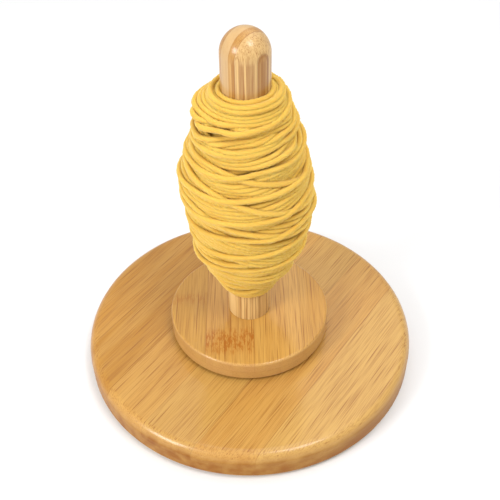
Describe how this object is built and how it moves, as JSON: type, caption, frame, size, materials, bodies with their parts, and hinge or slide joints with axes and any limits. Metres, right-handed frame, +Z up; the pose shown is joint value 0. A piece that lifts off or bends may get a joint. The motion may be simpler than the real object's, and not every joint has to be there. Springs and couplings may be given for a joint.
{
  "type": "yarn swift",
  "caption": "Table-top yarn swift: a round bamboo base board, a small turntable on a ball bearing, and a domed peg with yellow yarn wound round it.",
  "frame": {"origin": "on the table, on the axis that the peg spins about, level with the undersides of the foot pads", "axes": "+Z up along the peg; +X and +Y lie in the table, midway between foot pads, and the object is round about Z"},
  "size_m": [0.16, 0.16, 0.174],
  "materials": {
    "bamboo_board": "laminated bamboo, satin lacquer",
    "bamboo_turntable": "laminated bamboo, satin lacquer",
    "bamboo_peg": "laminated bamboo dowel, satin lacquer",
    "yarn": "plied cotton, matt",
    "rubber_pad": "matt",
    "bearing_steel": "ground",
    "ball_steel": "polished",
    "shield_steel": "pressed",
    "cage_steel": "pressed",
    "zinc_steel": "bright zinc plate",
    "brass": "turned"
  },
  "bodies": {
    "stand": {"base_board": "bamboo_board", "foot_pad_1": "rubber_pad", "foot_pad_2": "rubber_pad", "foot_pad_3": "rubber_pad", "foot_pad_4": "rubber_pad", "bearing_outer_ring": "bearing_steel", "bearing_shield_top": "shield_steel", "bearing_shield_bottom": "shield_steel"},
    "spindle": {"turntable": "bamboo_turntable", "peg": "bamboo_peg", "threaded_insert": "brass", "axle_bolt": "zinc_steel", "bolt_washer": "zinc_steel", "spacer_ring": "zinc_steel", "bearing_inner_ring": "bearing_steel", "wound_yarn": "yarn"},
    "ball_cage": {"bearing_cage": "cage_steel", "bearing_ball_1": "ball_steel", "bearing_ball_2": "ball_steel", "bearing_ball_3": "ball_steel", "bearing_ball_4": "ball_steel", "bearing_ball_5": "ball_steel", "bearing_ball_6": "ball_steel", "bearing_ball_7": "ball_steel"}
  },
  "joints": [
    {"name": "turntable_spin", "type": "hinge", "parent": "stand", "child": "spindle", "pos_m": [0, 0, 0.013], "axis": [0, 0, 1], "continuous": true},
    {"name": "cage_orbit", "type": "hinge", "parent": "stand", "child": "ball_cage", "pos_m": [0, 0, 0.013], "axis": [0, 0, 1], "continuous": true}
  ],
  "couplings": [
    {"joint": "cage_orbit", "follows": "turntable_spin", "ratio": 0.36767}
  ]
}
